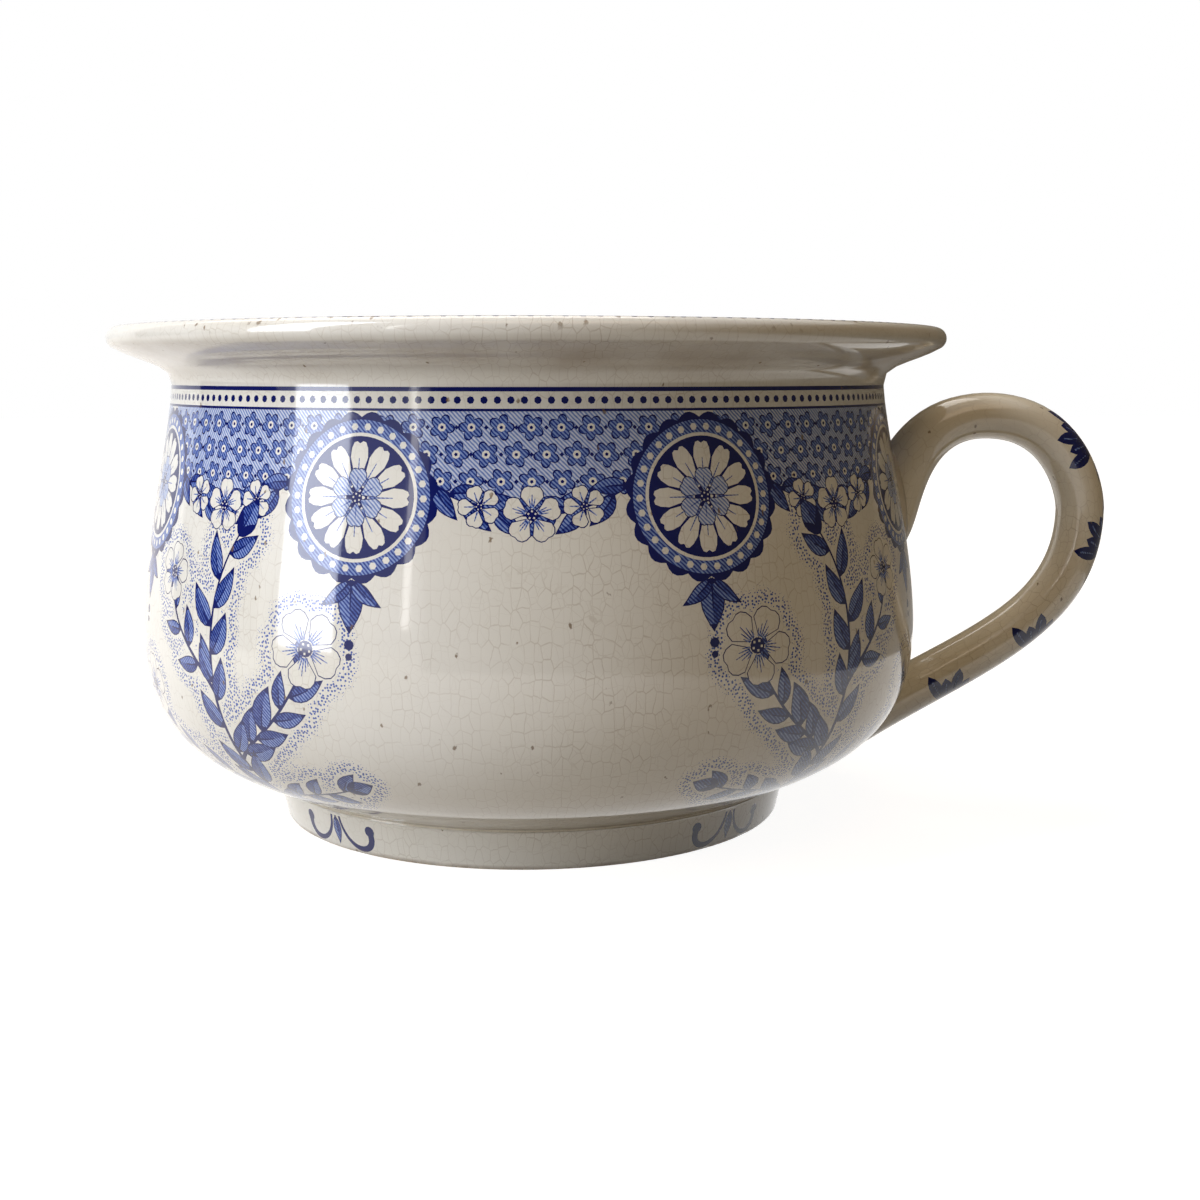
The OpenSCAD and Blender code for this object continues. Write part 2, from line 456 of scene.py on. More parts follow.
def wrapped(drawing, width):
    """Splits what crosses the ends of an unrolled band, so that it carries on at the other end."""
    whole = []
    for ink, line in drawing:
        for shift in (-width, 0, width):
            part = line + shift
            if part.real.max() <= 0 or part.real.min() >= width:
                continue
            if part.real.min() < 0:
                part = clipped(part, 0, 1)
            if part.real.max() > width:
                part = clipped(part, width, -1)
            if len(part) > 2:
                whole.append((ink, anticlockwise(part)))
    return whole


# The unrolled bowl: x runs round it from the handle, y up its outside from the base.
PRINT_R = 105.0
BOWL_WIDTH = TURN * PRINT_R
LIP_Y = float(lengths(OUTSIDE)[-1])
LIP_END = LIP_Y + math.pi * LIP_R
RIM_BAND, BORDER_Z = 16, 122.6
RIM_END = LIP_END + RIM_BAND
BORDER_TOP = y_at_height(BORDER_Z)
# Repeats of the border, with the beads in each, and the sprays under it.
REPEATS, BEADS, SPRAYS = 8, 26, 4


def border():
    """Daisy roundels, with garlands and sown cloths hung between them from a beaded rail."""
    pitch = BOWL_WIDTH / REPEATS
    span, sag = pitch - 8, 18
    beads = BEADS * REPEATS
    bead_y, swag_y, hook_y = BORDER_TOP - 2.95, BORDER_TOP - 11, BORDER_TOP - 25.5
    drawing = [rail(BOWL_WIDTH, BORDER_TOP, 1.0), rail(BOWL_WIDTH, BORDER_TOP - 4.9, 0.6)]
    for k in range(beads):
        drawing.append(disc(BOWL_WIDTH * (k + 0.5) / beads + 1j * bead_y, 0.9, DARK, 7))
    for k in range(REPEATS):
        swag = k * pitch + 1j * swag_y
        drawing += moved(drape(span, 5.5, sag), swag) + moved(garland(span, sag), swag)
    for k in range(REPEATS):
        hook = (k + 0.5) * pitch + 1j * hook_y
        drawing += moved(drop(12.5), hook - 19j) + moved(roundel(20), hook)
    return drawing


def sprays():
    """Sprays that rise from the foot, each second one turned over."""
    drawing = []
    for k in range(SPRAYS):
        motif = mirrored(spray()) if k % 2 else spray()
        drawing += moved(motif, BOWL_WIDTH * (k + 0.5) / SPRAYS + 3j)
    return drawing


def rim_band():
    """A leaf chain on the rim's upper face."""
    y = LIP_END + 6.5
    count = 64
    drawing = [rail(BOWL_WIDTH, y + 6.5, 0.5), rail(BOWL_WIDTH, y - 5.5, 0.8)]
    for k in range(count):
        at = BOWL_WIDTH * (k + 0.5) / count + 1j * y
        for turn in (0.6, -0.6):
            drawing += moved([blade(7.5, 3.0, ink=MID)], at - 3, turn)
        drawing.append(disc(at - 4.2, 0.8))
    beads = 3 * count
    lip_top = LIP_Y + 2.45 * LIP_R
    return drawing + [disc(BOWL_WIDTH * k / beads + 1j * lip_top, 0.75, DARK, 6) for k in range(beads)]


# The unrolled foot: x runs round it, y up its outer face.
FOOT_WIDTH = TURN * FOOT_R


def foot_marks():
    """A drop between two scrolls on the foot, under each spray."""
    drawing = []
    for k in range(SPRAYS):
        at = FOOT_WIDTH * (k + 0.5) / SPRAYS + 10.2j
        drawing += moved(leaf(8.5, 3.2, 0), at, -math.pi / 2)
        for side in (1, -1):
            scroll = bezier(1.6 * side, 2.5 * side - 10.4j, 15 * side - 10.4j, 12.5 * side - 2.6j, 18)
            drawing += moved([stroke(scroll, 0.8, 2.2), disc(scroll[-1], 1.6, corners=12)], at)
    return drawing


# The unrolled handle: x runs round the bar from its inner side, y along it.
HANDLE_WIDTH = 48.0


def lobe(length, width):
    """A round-ended finger from the origin along +x, with a pale vein."""
    t = np.linspace(0, 1, 10)
    side = width / 2 * np.sin(math.pi * t**1.9) ** 0.8 + 0.12 * width * (1 - t)
    edge = length * t + 1j * side
    vein = stroke(length * np.array([0.5, 0.85]), 0.3, 0.6, MID)
    return [(DARK, np.concatenate([edge, edge[::-1].conj()])), vein]


def palmette(size):
    """A fan of round fingers about an eye, opening along +x, with a small sprig behind it."""
    motif = moved(stem(bezier(0, 0.3 * size, 0.6 * size, 0.9 * size, 8), 4, 0.5 * size), turn=math.pi)
    for k in range(-5, 6):
        reach = size * (1.0 if k % 2 else 0.82)
        motif += moved(lobe(reach, 0.24 * size), turn=0.33 * k)
    eye = ((0.26, DARK, 14), (0.18, BARE, 12), (0.1, DEEP, 10))
    return motif + [disc(0, share * size, ink, corners) for share, ink, corners in eye]


def handle_sprigs():
    """Palmettes on the handle's back, from its crest down to its lower end."""
    drawing = []
    for share in (0.40, 0.54, 0.70, 0.85):
        drawing += moved(palmette(15), HANDLE_WIDTH / 2 + 1j * share * HANDLE_END, -math.pi / 2)
    return drawing


# Meshes.

# Where the parts of a piece lie on its texture sheet: the corner and the span of each.
FIRST_HALF = (0.01, 0.01), (0.8, 0.42)
SECOND_HALF = (0.01, 0.44), (0.8, 0.42)
BELOW_BAND = (0.01, 0.88), (0.98, 0.11)
ABOVE_BAND = (0.83, 0.01), (0.16, 0.85)
# How far the stippled ground reaches from the lines of a drawing.
STIPPLE_REACH = 6.0


def unrolled(drawing, width, rows, columns, cut_across):
    """Triangulates a band so that every edge of the drawing is an edge of the mesh."""
    xs = np.linspace(0, width, columns + 1)
    points = [Vector((x, y)) for y in rows for x in xs]
    stride = columns + 1
    last = len(rows) - 1

    def row(r):
        return [(r * stride + c, r * stride + c + 1) for c in range(columns)]

    def column(c):
        return [(r * stride + c, (r + 1) * stride + c) for r in range(last)]

    edges = row(0) + row(last) + column(0) + column(columns)
    edges += row(last // 2) if cut_across else column(columns // 2)
    faces, inks = [], []
    for ink, line in wrapped(drawing, width):
        start = len(points)
        points += [Vector((p.real, p.imag)) for p in line]
        faces.append(range(start, len(points)))
        inks.append(ink)
    whole_hull, nearness = 0, 1e-5
    flat, _, triangles, _, _, sources = delaunay_2d_cdt(points, edges, faces, whole_hull, nearness)
    return np.array([tuple(v) for v in flat]), triangles, [inks[max(s)] if s else GROUND for s in sources]


def welded(flat, width):
    """For each point of a band, the point that stands for it once the band's ends meet."""
    first = {round(y, 3): i for i, (x, y) in enumerate(flat) if x < TOUCH}
    return [first.get(round(y, 3), i) if x > width - TOUCH else i for i, (x, y) in enumerate(flat)]


def in_sheet(corner, span, low, high, swap=False):
    """Maps a rectangle of the unrolled surface to a rectangle of the texture sheet."""
    def to_sheet(p):
        share = (np.asarray(p) - low) / (np.asarray(high) - low)
        return np.asarray(corner) + (share[:, ::-1] if swap else share) * span
    return to_sheet


def closeness(points, drawing, reach):
    """How close each point of a band lies to a drawing: 1 on its lines, 0 out of its reach."""
    tree = KDTree(sum(len(line) for _, line in drawing))
    for i, p in enumerate(p for _, line in drawing for p in line):
        tree.insert((p.real, p.imag, 0), i)
    tree.balance()
    return [max(0.0, 1 - (tree.find((x, y, 0))[2] or 0) / reach) for x, y in points]


def band_sheet(width, low, middle, high, cut_across):
    """Maps the triangles of a band to the texture sheet, each half of the band to a strip of its own."""
    half = (0, middle) if cut_across else (width / 2, low)
    far_half = (width, middle) if cut_across else (width / 2, high)
    strips = [in_sheet(*FIRST_HALF, (0, low), far_half, cut_across),
              in_sheet(*SECOND_HALF, half, (width, high), cut_across)]
    axis = 1 if cut_across else 0

    def to_sheet(corners):
        return strips[int(corners[:, axis].mean() > half[axis])](corners)
    return to_sheet


def between(rings, levels, width, columns):
    """Faces between rings of points, and the corners of each on the unrolled surface."""
    faces, spread = [], []
    for i, (low, high) in enumerate(zip(rings, rings[1:])):
        for c in range(columns):
            corners = [(low, c, i), (low, c + 1, i), (high, c + 1, i + 1), (high, c, i + 1)]
            if len(low) == 1:
                del corners[1]
            if len(high) == 1:
                del corners[3]
            faces.append([points[k % len(points)] for points, k, _ in corners])
            spread.append([(width * k / columns, levels[j]) for _, k, j in corners])
    return faces, spread


def skin(name, place, width, rows, band, drawing, columns,
         stippled=(), loop=False, cut_across=False, facing=None):
    """A closed piece: rings of points at the rows of place(), with a drawing cut into the rows of the band.

    The ground round the stippled part of the drawing is marked for dots. The first and last ring close
    to a point, or the last joins the first in a loop. The normals follow facing() where it is given.
    """
    start, end = band
    last = len(rows) - 1
    flat, triangles, inks = unrolled(drawing, width, rows[start:end + 1], columns, cut_across)
    stand_in = welded(flat, width)
    a, y = list(flat[:, 0] / width), list(flat[:, 1])
    faces = [[stand_in[i] for i in t] for t in triangles]
    spread = [flat[list(t)] for t in triangles]
    on_band = band_sheet(width, rows[start], rows[(start + end) // 2], rows[end], cut_across)
    maps = [on_band(corners) for corners in spread]

    def ring_of(r):
        if r in (start, end):
            on = [i for i in range(len(flat)) if abs(flat[i, 1] - rows[r]) < TOUCH and stand_in[i] == i]
            return sorted(on, key=lambda i: flat[i, 0])
        count = 1 if r in (0, last) and not loop else columns
        first = len(a)
        a.extend(np.arange(count) / columns)
        y.extend([rows[r]] * count)
        return list(range(first, first + count))

    before = [ring_of(r) for r in range(start + 1)]
    after = [ring_of(r) for r in range(end, last)] + [before[0] if loop else ring_of(last)]
    margin = 1e-6
    below = in_sheet(*BELOW_BAND, (0, rows[0] - margin), (width, rows[start]))
    above = in_sheet(*ABOVE_BAND, (0, rows[end]), (width, rows[last] + margin), True)
    for rings, levels, sheet in ((before, rows, below), (after, rows[end:], above)):
        more_faces, more_spread = between(rings, levels, width, columns)
        faces += more_faces
        spread += more_spread
        maps += [sheet(corners) for corners in more_spread]
        inks += [GROUND] * len(more_faces)
    near = closeness(flat, stippled, STIPPLE_REACH) if stippled else []
    near += [0.0] * (len(a) - len(near))
    sheets = {"OFBake": np.concatenate(maps), "Unrolled": np.concatenate(spread) * MM}
    return make_piece(name, place, facing or place, np.array(a), np.array(y), faces, sheets, inks, near)


def normals_of(place, a, y, small_turn=1e-4, small_step=0.15, least=1e-7):
    """The way out of a surface at its points, or nothing where it has no clear way out."""
    round_it = place(a + small_turn, y) - place(a - small_turn, y)
    up_it = place(a, y + small_step) - place(a, y - small_step)
    normals = np.cross(round_it, up_it)
    size = np.linalg.norm(normals, axis=1, keepdims=True)
    return np.where(size > least, normals / np.maximum(size, least), (0, 0, 0))


def make_piece(name, place, facing, a, y, faces, sheets, inks, near):
    """A mesh with its inks, its stipple, its sheets and smooth normals."""
    mesh = bpy.data.meshes.new(name)
    mesh.from_pydata((place(a, y) * MM).tolist(), [], faces)
    mesh.attributes.new("ink", "FLOAT", "FACE").data.foreach_set("value", inks)
    for label, values in (("stipple", near), ("around", a), ("along", y)):
        mesh.attributes.new(label, "FLOAT", "POINT").data.foreach_set("value", values)
    mesh.polygons.foreach_set("use_smooth", [True] * len(faces))
    for sheet, corners in sheets.items():
        mesh.uv_layers.new(name=sheet).data.foreach_set("uv", corners.ravel())
    clean(mesh)
    a, y = np.empty((2, len(mesh.vertices)), np.float32)
    mesh.attributes["around"].data.foreach_get("value", a)
    mesh.attributes["along"].data.foreach_get("value", y)
    mesh.normals_split_custom_set_from_vertices(normals_of(facing, a.astype(float), y.astype(float)))
    return link(name, mesh)


def clean(mesh, reach=0.005 * MM):
    """Merges points that all but touch, and takes out those that no face uses."""
    build = bmesh.new()
    build.from_mesh(mesh)
    bmesh.ops.remove_doubles(build, verts=build.verts, dist=reach)
    bmesh.ops.delete(build, geom=[v for v in build.verts if not v.link_faces], context="VERTS")
    build.to_mesh(mesh)
    build.free()


def link(name, data):
    made = bpy.data.objects.new(name, data)
    bpy.context.collection.objects.link(made)
    return made


def spaced(low, high, step):
    """Levels from low to high, about a step apart."""
    return np.linspace(low, high, max(1, round((high - low) / step)) + 1)


def bowl():
    rows = joined(spaced(-BASE_R, 0, step=8), spaced(0, LIP_Y, step=3.2), spaced(LIP_Y, LIP_END, step=0.6),
                  spaced(LIP_END, RIM_END, step=2.5), spaced(RIM_END, BOWL_Y[-1], step=4))
    band = [int(np.argmin(abs(rows - level))) for level in (0, RIM_END)]
    drawing = border() + sprays() + rim_band()
    return skin("bowl", turned(BOWL, BOWL_Y), BOWL_WIDTH, rows, band, drawing,
                columns=192, stippled=sprays())


def foot():
    line = foot_line()
    ys = lengths(line)
    back_end = 2 * ARC_STEPS + 1
    face_top, inner_top = ys[back_end:back_end + 2]
    rows = joined(spaced(0, face_top, step=0.5), spaced(face_top, inner_top, step=2.0),
                  spaced(inner_top, ys[-1], step=1.0))
    band = (1, int(np.argmin(abs(rows - face_top))))
    return skin("foot", turned(line, ys), FOOT_WIDTH, rows, band, foot_marks(), columns=160, loop=True)


def foot_slip():
    line = foot_slip_line()
    ys = lengths(line)
    hidden = zip(ys[CURVE_STEPS:], ys[CURVE_STEPS + 1:])
    rows = joined(spaced(0, ys[CURVE_STEPS], step=0.2), *[spaced(low, high, step=4) for low, high in hidden])
    return skin("foot_joint", turned(line, ys), FOOT_WIDTH, rows, (1, 3), [], columns=160, loop=True)


def handle():
    toe = HANDLE_END + TOE * np.sin(np.linspace(0, math.pi / 2, 9))
    # The rows are close together where the bar comes out of the wall.
    upper, lower = 30, HANDLE_END - 40
    rows = joined(spaced(0, upper, step=0.8), spaced(upper, lower, step=2.5),
                  spaced(lower, HANDLE_END, step=0.8), toe)
    band = (1, len(rows) - 2)
    return skin("loop_handle", handle_surface, HANDLE_WIDTH, rows, band, handle_sprigs(),
                columns=40, cut_across=True, facing=bar)


def crossing(a, ys):
    """Where each line along the bar comes out of the bowl's wall, going through ys in order."""
    found = []
    for share in a:
        points = bar(np.full(len(ys), share), ys)
        clear = np.hypot(points[:, 0], points[:, 1]) - wall_radius(points[:, 2])
        i = int(np.argmax(clear > 0))
        t = clear[i - 1] / (clear[i - 1] - clear[i]) if i else 0
        found.append(ys[i - 1] + t * (ys[i] - ys[i - 1]) if i else ys[0])
    return np.array(found)


def unit(v):
    return v / np.linalg.norm(v, axis=1, keepdims=True)


def off_the_wall(points):
    """The way out of the bowl's outside at points on it."""
    slope = np.interp(points[:, 2], OUTSIDE.imag, np.angle(along(OUTSIDE)))
    out = unit(points[:, :2])
    return np.column_stack([out * np.sin(slope)[:, None], -np.cos(slope)])


def away_from(run, off, side):
    """The way along a surface and across a line on it, on the side that is given."""
    across = unit(np.cross(run, off))
    return across * np.sign((across * side).sum(axis=1, keepdims=True))


def fillet(name, ys, size, columns=72, steps=6, sink=0.1, depth=0.7):
    """A bead of slip in the corner between the handle's bar and the wall, all round the bar.

    Its two edges are sunk a little in the surfaces, and its hidden back lies at a depth in the corner.
    """
    a = np.arange(columns) / columns
    y = crossing(a, ys)
    corner = bar(a, y)
    off_bar, off_wall = normals_of(bar, a, y), off_the_wall(corner)
    run = unit(np.roll(corner, -1, axis=0) - np.roll(corner, 1, axis=0))
    top = corner + size * away_from(run, off_bar, off_wall) - sink * off_bar
    low = corner + size * away_from(run, off_wall, off_bar) - sink * off_wall
    shares = np.linspace(0, 1, steps + 1)
    rings = [(1 - t) ** 2 * top + 2 * t * (1 - t) * corner + t**2 * low for t in shares]
    rings.append(corner - depth * unit(off_bar + off_wall))
    faces = []
    for r in range(len(rings)):
        here, there = r * columns, (r + 1) % len(rings) * columns
        faces += [[here + c, here + (c + 1) % columns, there + (c + 1) % columns, there + c]
                  for c in range(columns)]
    mesh = bpy.data.meshes.new(name)
    mesh.from_pydata((np.concatenate(rings) * MM).tolist(), [], faces)
    mesh.polygons.foreach_set("use_smooth", [i < steps * columns for i in range(len(faces))])
    build = bmesh.new()
    build.from_mesh(mesh)
    bmesh.ops.recalc_face_normals(build, faces=build.faces)
    build.to_mesh(mesh)
    build.free()
    return link(name, mesh)


# Materials.

WHITE = (1, 1, 1, 1)
CRAZE_BROWN = (0.33, 0.25, 0.16, 1)
SPECK_BROWN = (0.17, 0.10, 0.04, 1)
WORN_BROWN = (0.26, 0.17, 0.09, 1)
STAIN_BROWN = (0.36, 0.26, 0.15, 1)
STIPPLE_BLUE = (0.07, 0.12, 0.38, 1)
# Heights in metres between which the glaze changes: the rubbed foot, the flare and the lip.
RUBBED_LOW, RUBBED_HIGH = 0.0005, 0.0015
FLARE_LOW, FLARE_MIDDLE, LIP_LOW, LIP_HIGH = 0.1225, 0.129, 0.1345, 0.137
# Distances in metres up the outside between which its upright crazing fades.
FADE_START, FADE_END = 0.17, 0.19
# The colour of the print by how much cobalt it carries.
COBALT = (
    (0.1, (0.64, 0.67, 0.74, 1)),
    (0.35, (0.25, 0.34, 0.60, 1)),
    (0.62, (0.03, 0.07, 0.33, 1)),
    (0.9, (0.003, 0.008, 0.11, 1)),
)


def feed(tree, sockets, values):
    """Links each named socket to the socket given for it, or sets it to the value given."""
    for key, value in values.items():
        if isinstance(value, bpy.types.NodeSocket):
            tree.links.new(value, sockets[key])
        else:
            sockets[key].default_value = value


def node(tree, kind, inputs, **settings):
    made = tree.nodes.new("ShaderNode" + kind)
    for name, value in settings.items():
        setattr(made, name, value)
    feed(tree, made.inputs, inputs)
    return made


def new_material(name):
    """A material, with its tree and the sockets of its shader."""
    material = bpy.data.materials.new(name)
    material.use_nodes = True
    tree = material.node_tree
    return material, tree, tree.nodes["Principled BSDF"].inputs


def noise(tree, where, scale, detail=2.0):
    return node(tree, "TexNoise", {"Vector": where, "Scale": scale, "Detail": detail}).outputs["Fac"]


def fit(tree, value, low, high, to_low=0.0, to_high=1.0):
    """Carries a value from one range to another, and holds it there."""
    made = node(tree, "MapRange", {0: value, 1: low, 2: high, 3: to_low, 4: to_high})
    return made.outputs[0]


def calc(tree, what, a, b):
    return node(tree, "Math", {0: a, 1: b}, operation=what).outputs[0]


def times(tree, a, b):
    return calc(tree, "MULTIPLY", a, b)


def blend(tree, factor, a, b, how="MIX"):
    return node(tree, "Mix", {0: factor, 6: a, 7: b}, data_type="RGBA", blend_type=how).outputs[2]


def crackle(tree, where, cells, width, **net):
    """Crazing: the thin edges between the cells of a wandering net, broken here and there."""
    drift = node(tree, "TexNoise", {"Vector": where, "Scale": 0.7 * cells, "Detail": 4.0}).outputs["Color"]
    bent = blend(tree, 0.5 / cells, where, drift, "ADD")
    settings = {"Vector": bent, "Scale": cells, "Randomness": 0.65}
    edges = node(tree, "TexVoronoi", settings, feature="DISTANCE_TO_EDGE", **net)
    line = fit(tree, edges.outputs["Distance"], 0.0, width, 1.0, 0.0)
    return times(tree, line, fit(tree, noise(tree, where, 0.4 * cells), 0.35, 0.6, 0.25, 1.0))


def specks(tree, where, cells, size, share):
    """Ragged specks, gathered in a share of the surface and taller than they are wide."""
    drift = node(tree, "TexNoise", {"Vector": where, "Scale": 700.0}).outputs["Color"]
    ragged = blend(tree, 0.0016, where, drift, "ADD")
    tall = node(tree, "Mapping", {"Vector": ragged, "Scale": (1.0, 1.0, 0.6)}).outputs[0]
    net = node(tree, "TexVoronoi", {"Vector": tall, "Scale": cells})
    dot = fit(tree, net.outputs["Distance"], size * 0.6, size, 1.0, 0.0)
    return times(tree, dot, calc(tree, "LESS_THAN", noise(tree, where, 14.0), share))


def unrolled_place(tree):
    return node(tree, "UVMap", {}, uv_map="Unrolled").outputs["UV"]


def mark(tree, name):
    return node(tree, "Attribute", {}, attribute_name=name).outputs["Fac"]


def engraved(tree, flat, ink):
    """The colour of each face's ink, hatched and worn as an engraving is."""
    waves = {"Vector": flat, "Scale": 600.0, "Distortion": 1.2}
    lines = node(tree, "TexWave", waves, bands_direction="DIAGONAL").outputs["Fac"]
    middle = times(tree, fit(tree, ink, 0.22, 0.28), fit(tree, ink, 0.75, 0.85, 1.0, 0.0))
    hatch = times(tree, middle, fit(tree, lines, 0.25, 0.75, -0.16, 0.16))
    worn = times(tree, ink, fit(tree, noise(tree, flat, 900.0, 3.0), 0.3, 0.7, 0.86, 1.1))
    dyed = node(tree, "ValToRGB", {"Fac": calc(tree, "ADD", worn, hatch)})
    stops = dyed.color_ramp.elements
    stops[0].position, stops[0].color = COBALT[0]
    stops[1].position, stops[1].color = COBALT[-1]
    for position, tint in COBALT[1:-1]:
        stops.new(position).color = tint
    return dyed.outputs["Color"]


def stippling(tree, flat):
    """Dots on the ground round the sprays, smaller away from them."""
    near = mark(tree, "stipple")
    halo = times(tree, fit(tree, near, 0.12, 0.5), fit(tree, near, 0.8, 0.95, 1.0, 0.0))
    cells = {"Vector": flat, "Scale": 1150.0, "Randomness": 0.8}
    net = node(tree, "TexVoronoi", cells, voronoi_dimensions="2D")
    return calc(tree, "LESS_THAN", net.outputs["Distance"], times(tree, halo, 0.31))


def cobalt(tree, colour):
    """Lays the print over a colour."""
    flat = unrolled_place(tree)
    ink = mark(tree, "ink")
    on_ground = calc(tree, "LESS_THAN", ink, BARE / 2)
    dotted = blend(tree, times(tree, stippling(tree, flat), on_ground), colour, STIPPLE_BLUE)
    return blend(tree, calc(tree, "GREATER_THAN", ink, 2 * BARE), dotted, engraved(tree, flat, ink))


def crazing(tree, where):
    """A fine net in patches all over, and a taller one on the outside that fades between the patches."""
    flat = unrolled_place(tree)
    tall = node(tree, "Mapping", {"Vector": flat, "Scale": (1.0, 0.55, 1.0)}).outputs[0]
    patches = fit(tree, noise(tree, where, 11.0, 3.0), 0.38, 0.6)
    up_it = node(tree, "SeparateXYZ", {0: flat}).outputs[1]
    outside = fit(tree, up_it, FADE_START, FADE_END, 1.0, 0.0)
    shown = times(tree, outside, fit(tree, patches, 0.0, 1.0, 0.35, 1.0))
    fine = times(tree, crackle(tree, where, 300.0, 0.025), patches)
    upright = times(tree, crackle(tree, tall, 450.0, 0.06, voronoi_dimensions="2D"), shown)
    return calc(tree, "MAXIMUM", upright, times(tree, fine, 0.6))


def dirt(tree, where, height):
    """Specks here and there, and more of them on the lip."""
    on_lip = times(tree, specks(tree, where, 260.0, 0.2, 0.55), fit(tree, height, LIP_LOW, LIP_HIGH))
    return calc(tree, "MAXIMUM", specks(tree, where, 170.0, 0.08, 0.7), on_lip)


def rubbing(tree, where, height):
    """Wear along the foot's lowest edge."""
    low = fit(tree, height, RUBBED_LOW, RUBBED_HIGH, 0.8, 0.0)
    return times(tree, low, fit(tree, noise(tree, where, 70.0, 4.0), 0.35, 0.6, 0.25, 1.0))


def staining(tree, where, height):
    """Stains under the flare and up to the lip."""
    rise = fit(tree, height, FLARE_LOW, FLARE_MIDDLE)
    fall = fit(tree, height, FLARE_MIDDLE, LIP_LOW, 1.0, 0.25)
    return times(tree, times(tree, rise, fall), fit(tree, noise(tree, where, 45.0, 5.0), 0.42, 0.72))


def glaze(name, ivory, grime):
    """Old ivory glaze: uneven tone and crazing, then the print, then specks, wear and stains."""
    material, tree, shader = new_material(name)
    where = node(tree, "TexCoord", {}).outputs["Object"]
    height = node(tree, "SeparateXYZ", {0: where}).outputs[2]
    craze = crazing(tree, where)
    stain = staining(tree, where, height)
    tone = fit(tree, noise(tree, where, 16.0, 4.0), 0.35, 0.7)
    colour = blend(tree, tone, ivory, [0.93 * ivory[0], 0.92 * ivory[1], 0.89 * ivory[2], 1])
    colour = blend(tree, times(tree, craze, 0.44), colour, CRAZE_BROWN)
    colour = cobalt(tree, colour)
    colour = blend(tree, times(tree, dirt(tree, where, height), 0.8), colour, SPECK_BROWN)
    colour = blend(tree, rubbing(tree, where, height), colour, WORN_BROWN)
    colour = blend(tree, times(tree, stain, grime), colour, STAIN_BROWN)
    rough = fit(tree, noise(tree, where, 70.0, 3.0), 0.3, 0.7, 0.03, 0.08)
    rough = calc(tree, "ADD", rough, times(tree, calc(tree, "ADD", craze, stain), 0.12))
    relief = calc(tree, "ADD", noise(tree, where, 24.0), times(tree, noise(tree, where, 160.0), 0.12))
    relief = calc(tree, "SUBTRACT", relief, times(tree, craze, 0.03))
    bump = node(tree, "Bump", {"Height": relief, "Strength": 0.5, "Distance": 0.00012}).outputs["Normal"]
    feed(tree, shader, {"IOR": 1.52, "Base Color": colour, "Roughness": rough, "Normal": bump})
    return material


def biscuit(name):
    """Bare fired clay where the foot is wiped and worn."""
    material, tree, shader = new_material(name)
    where = node(tree, "TexCoord", {}).outputs["Object"]
    grain = noise(tree, where, 900.0, 4.0)
    soil = fit(tree, noise(tree, where, 60.0, 5.0), 0.45, 0.7)
    colour = blend(tree, soil, (0.66, 0.56, 0.42, 1), (0.34, 0.26, 0.17, 1))
    rough = fit(tree, grain, 0.3, 0.7, 0.7, 0.95)
    bump = node(tree, "Bump", {"Height": grain, "Strength": 0.4, "Distance": 0.0003}).outputs["Normal"]
    feed(tree, shader, {"Base Color": colour, "Roughness": rough, "Normal": bump})
    return material


def dress(piece, cad_node, slot, *materials):
    for material in materials:
        piece.data.materials.append(material)
    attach(piece, "root")
    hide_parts(cad_node)


# Stage, light and camera.

def seen_rays(tree):
    """One where the camera looks, straight or in a reflection or through glass."""
    path = node(tree, "LightPath", {})
    seen = calc(tree, "MAXIMUM", path.outputs["Is Camera Ray"], path.outputs["Is Glossy Ray"])
    return calc(tree, "MAXIMUM", seen, path.outputs["Is Transmission Ray"])


def floor():
    """A pale floor that is white to the camera and in reflections, and keeps the shadow."""
    reach = 4
    corners = [(-reach, -reach, 0), (reach, -reach, 0), (reach, reach, 0), (-reach, reach, 0)]
    mesh = bpy.data.meshes.new("floor")
    mesh.from_pydata(corners, [], [(0, 1, 2, 3)])
    material, tree, shader = new_material("floor")
    glow = times(tree, seen_rays(tree), 0.93)
    feed(tree, shader, {"Base Color": (0.34, 0.30, 0.24, 1), "Roughness": 0.9,
                        "Emission Color": WHITE, "Emission Strength": glow})
    mesh.materials.append(material)
    link("floor", mesh)


def screen(name, start, end, nearest):
    """A dark upright screen between two azimuths, which dims what the glaze reflects.

    It comes nearest beside the handle, and glows a little along its foot.
    """
    steps, farthest, slant = 36, 0.75, 1.15
    middle, breadth = 15, 75
    around = np.linspace(start, end, steps + 1)
    away = farthest - (farthest - nearest) * np.exp(-(((around - middle) / breadth) ** 4))
    base = away * np.exp(1j * np.radians(around))
    verts = [(p.real, p.imag, rise * abs(p)) for rise in (0.0, slant) for p in base]
    mesh = bpy.data.meshes.new(name)
    mesh.from_pydata(verts, [], [(i, i + 1, steps + 2 + i, steps + 1 + i) for i in range(steps)])
    material, tree, shader = new_material(name)
    height = node(tree, "SeparateXYZ", {0: node(tree, "TexCoord", {}).outputs["Object"]}).outputs[2]
    glow = times(tree, seen_rays(tree), fit(tree, height, 0.0, 0.1, 0.28, 0.0))
    feed(tree, shader, {"Base Color": (0.12, 0.10, 0.07, 1), "Roughness": 1.0,
                        "Emission Color": WHITE, "Emission Strength": glow})
    mesh.materials.append(material)
    piece = link(name, mesh)
    piece.visible_camera = False


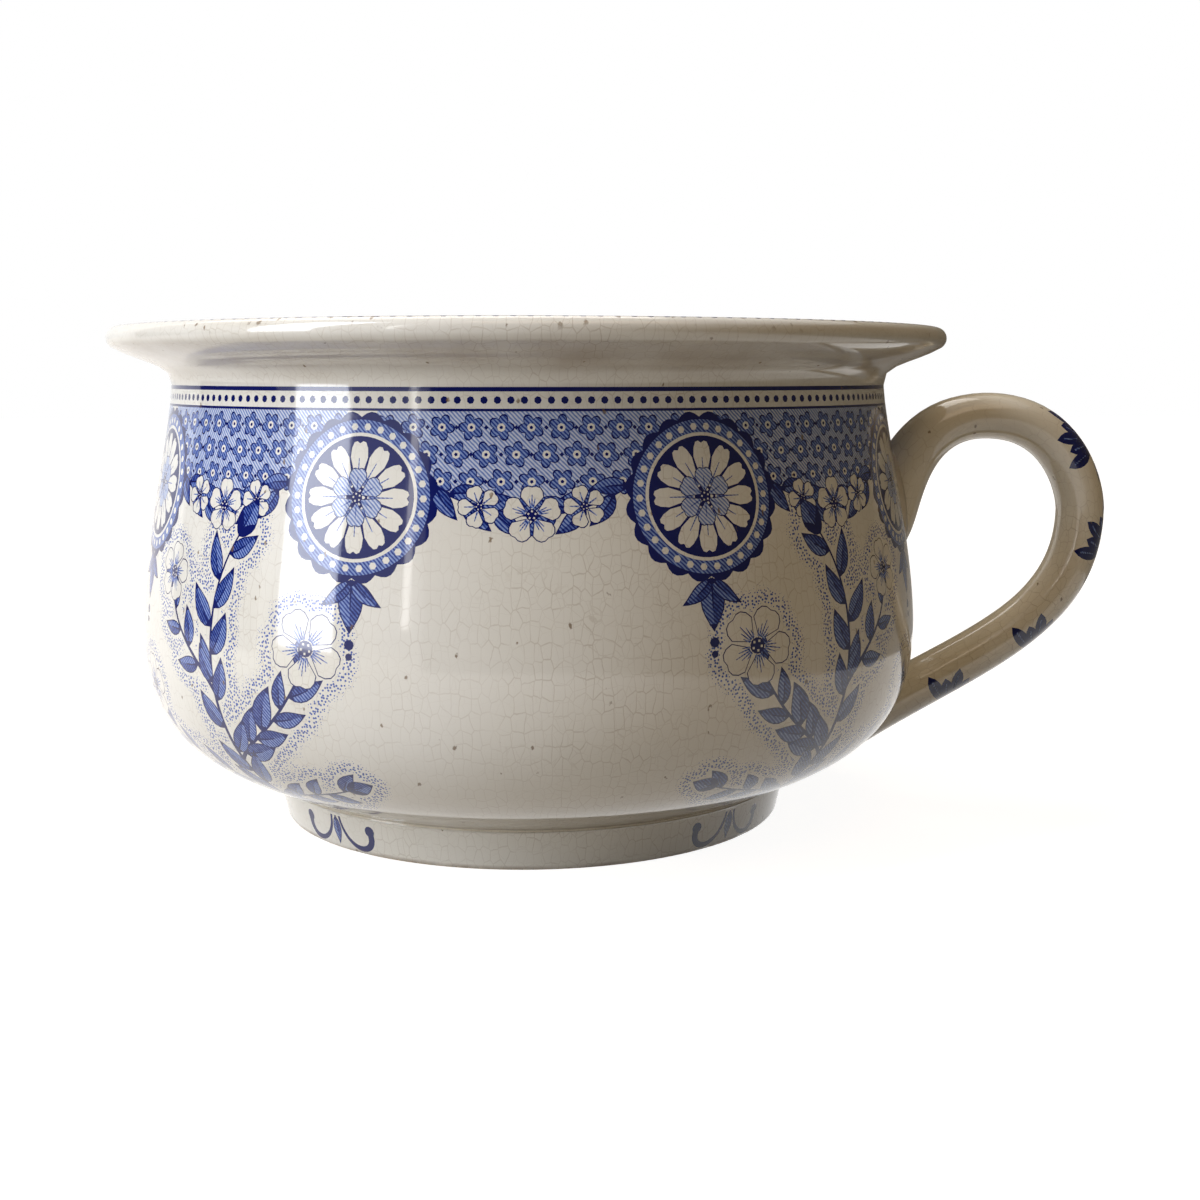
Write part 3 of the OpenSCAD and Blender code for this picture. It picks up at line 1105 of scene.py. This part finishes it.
def area_light(name, azimuth, elevation, distance, size, watts, colour):
    """A lamp that faces the middle of the pot."""
    light = bpy.data.lights.new(name, "AREA")
    light.shape = "RECTANGLE"
    light.size, light.size_y = size
    light.energy = watts
    light.color = colour
    lamp = link(name, light)
    az, el = math.radians(azimuth), math.radians(elevation)
    away = distance * Vector((math.cos(az) * math.cos(el), math.sin(az) * math.cos(el), math.sin(el)))
    lamp.location = away + Vector((0, 0, POT_H / 2 * MM))
    lamp.rotation_euler = away.to_track_quat("Z", "Y").to_euler()


def camera():
    data = bpy.data.cameras.new("camera")
    data.lens = 46.295
    data.sensor_width = 36
    data.clip_start = 0.01
    piece = link("camera", data)
    piece.location = (0, -0.45315, 0.12535)
    tilt, swing = 0.1450, 0.0442
    piece.rotation_euler = (math.pi / 2 - tilt, 0, -swing)
    bpy.context.scene.camera = piece


def world():
    """Dim warm light all round, and a background that is white to the camera and in reflections."""
    scene = bpy.context.scene
    scene.world = bpy.data.worlds.new("world")
    scene.world.use_nodes = True
    tree = scene.world.node_tree
    colour = blend(tree, seen_rays(tree), (0.20, 0.152, 0.098, 1), WHITE)
    tree.links.new(colour, tree.nodes["Background"].inputs["Color"])
    scene.view_settings.view_transform = "Standard"


# The foot is bare clay below this height.
BARE_CLAY = 0.3 * MM
# The stretch of the bar in which its end comes out of the wall, and the steps in which it is searched.
ROOT_LENGTH, ROOT_STEPS = 60, 600

body_glaze = glaze("ivory_glaze", (0.80, 0.78, 0.715, 1), grime=0.5)
handle_glaze = glaze("handle_glaze", (0.86, 0.805, 0.675, 1), grime=0.3)
foot_glaze = glaze("foot_glaze", (0.79, 0.76, 0.68, 1), grime=0.6)
# The slip on the joints is glazed darker than the body: painted shade in the corners where the parts meet.
slip_glaze_painted_shade = glaze("slip_glaze_painted_shade", (0.66, 0.60, 0.49, 1), grime=0.9)

dress(bowl(), "pot_body", "glaze", body_glaze)
dress(handle(), "handle", "handle_glaze", handle_glaze)
ring_piece = foot()
dress(ring_piece, "foot_ring", "foot_glaze", foot_glaze, biscuit("worn_foot"))
for face in ring_piece.data.polygons:
    face.material_index = int(face.center.z < BARE_CLAY)
dress(foot_slip(), "foot_slip", "slip", slip_glaze_painted_shade)
upper_root = np.linspace(0, ROOT_LENGTH, ROOT_STEPS)
lower_root = np.linspace(HANDLE_END + 0.999 * TOE, HANDLE_END - ROOT_LENGTH, ROOT_STEPS)
dress(fillet("upper_joint", upper_root, size=2.4), "upper_handle_slip", "slip", slip_glaze_painted_shade)
dress(fillet("lower_joint", lower_root, size=2.0), "lower_handle_slip", "slip", slip_glaze_painted_shade)

floor()
screen("right_screen", start=-118, end=104, nearest=0.33)
screen("left_screen", start=-206, end=-167, nearest=0.75)
area_light("window", azimuth=-153, elevation=22, distance=1.3,
           size=(0.43, 1.8), watts=23.0, colour=(0.93, 0.98, 1.08))
area_light("strip", azimuth=-123.5, elevation=18, distance=1.3,
           size=(0.05, 0.7), watts=0.55, colour=(1.0, 0.98, 0.95))
area_light("back", azimuth=110, elevation=60, distance=1.5,
           size=(1.2, 1.0), watts=10.0, colour=(1.0, 0.96, 0.9))
area_light("room", azimuth=-72, elevation=50, distance=1.5,
           size=(1.2, 1.2), watts=4.6, colour=(1.0, 0.65, 0.31))
camera()
world()
